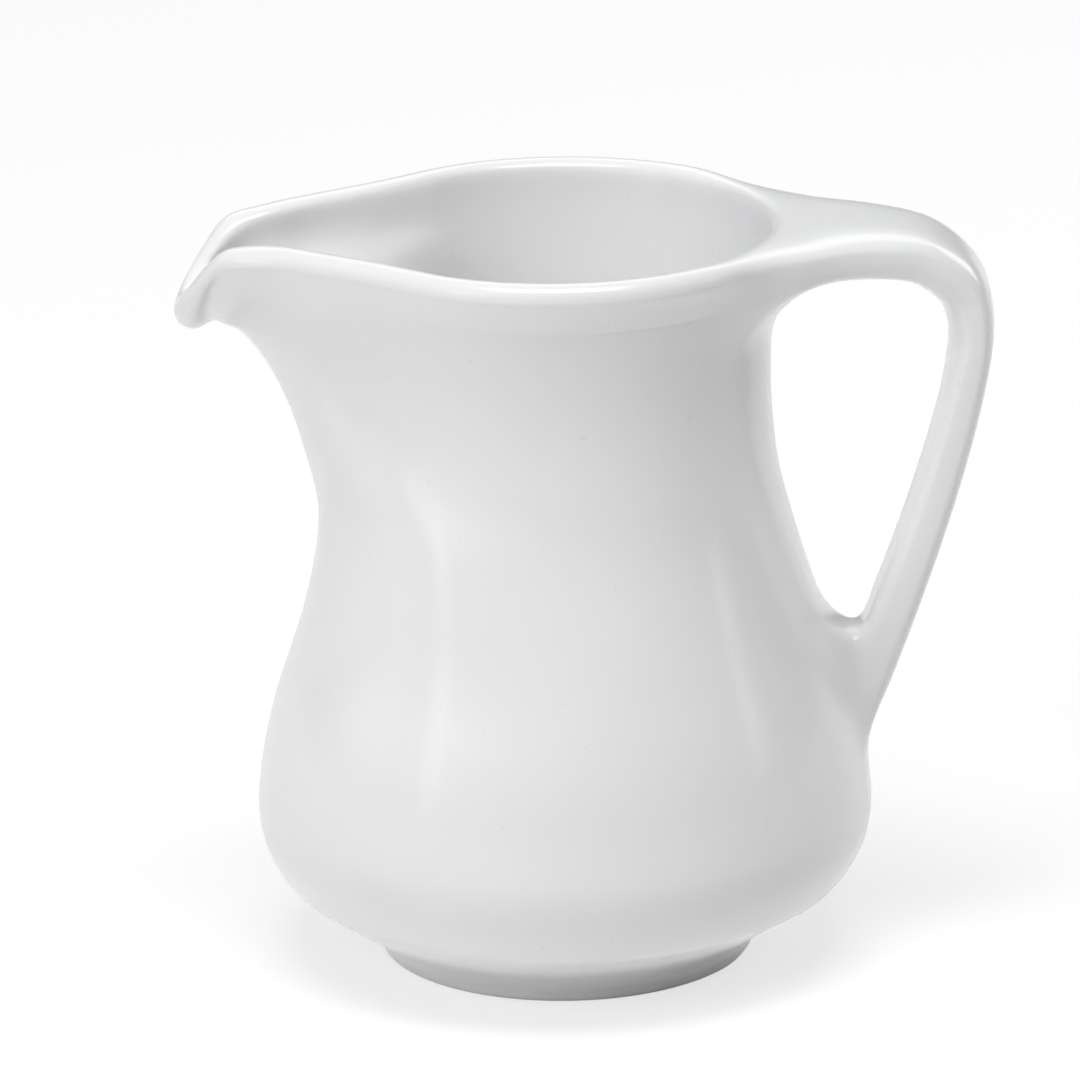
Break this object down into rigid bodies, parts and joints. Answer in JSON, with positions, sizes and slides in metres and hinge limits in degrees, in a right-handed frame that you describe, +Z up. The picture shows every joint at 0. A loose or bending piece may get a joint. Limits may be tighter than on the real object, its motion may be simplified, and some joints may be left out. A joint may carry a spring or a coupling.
{
  "type": "porcelain creamer jug",
  "caption": "One-piece glazed porcelain creamer: round foot, low belly, rolled rim bead that droops into a pouring beak, and a strap handle grown out of the rim",
  "frame": {"origin": "middle of the foot's resting ring, on the plane that the jug stands on", "axes": "+Z up out of the mouth, +X towards the handle, the beak points to -X"},
  "size_m": [0.1074, 0.0816, 0.1],
  "materials": {
    "white_glaze": "glossy transparent glaze on white porcelain"
  },
  "bodies": {
    "root": {"creamer": "white_glaze"}
  },
  "joints": []
}
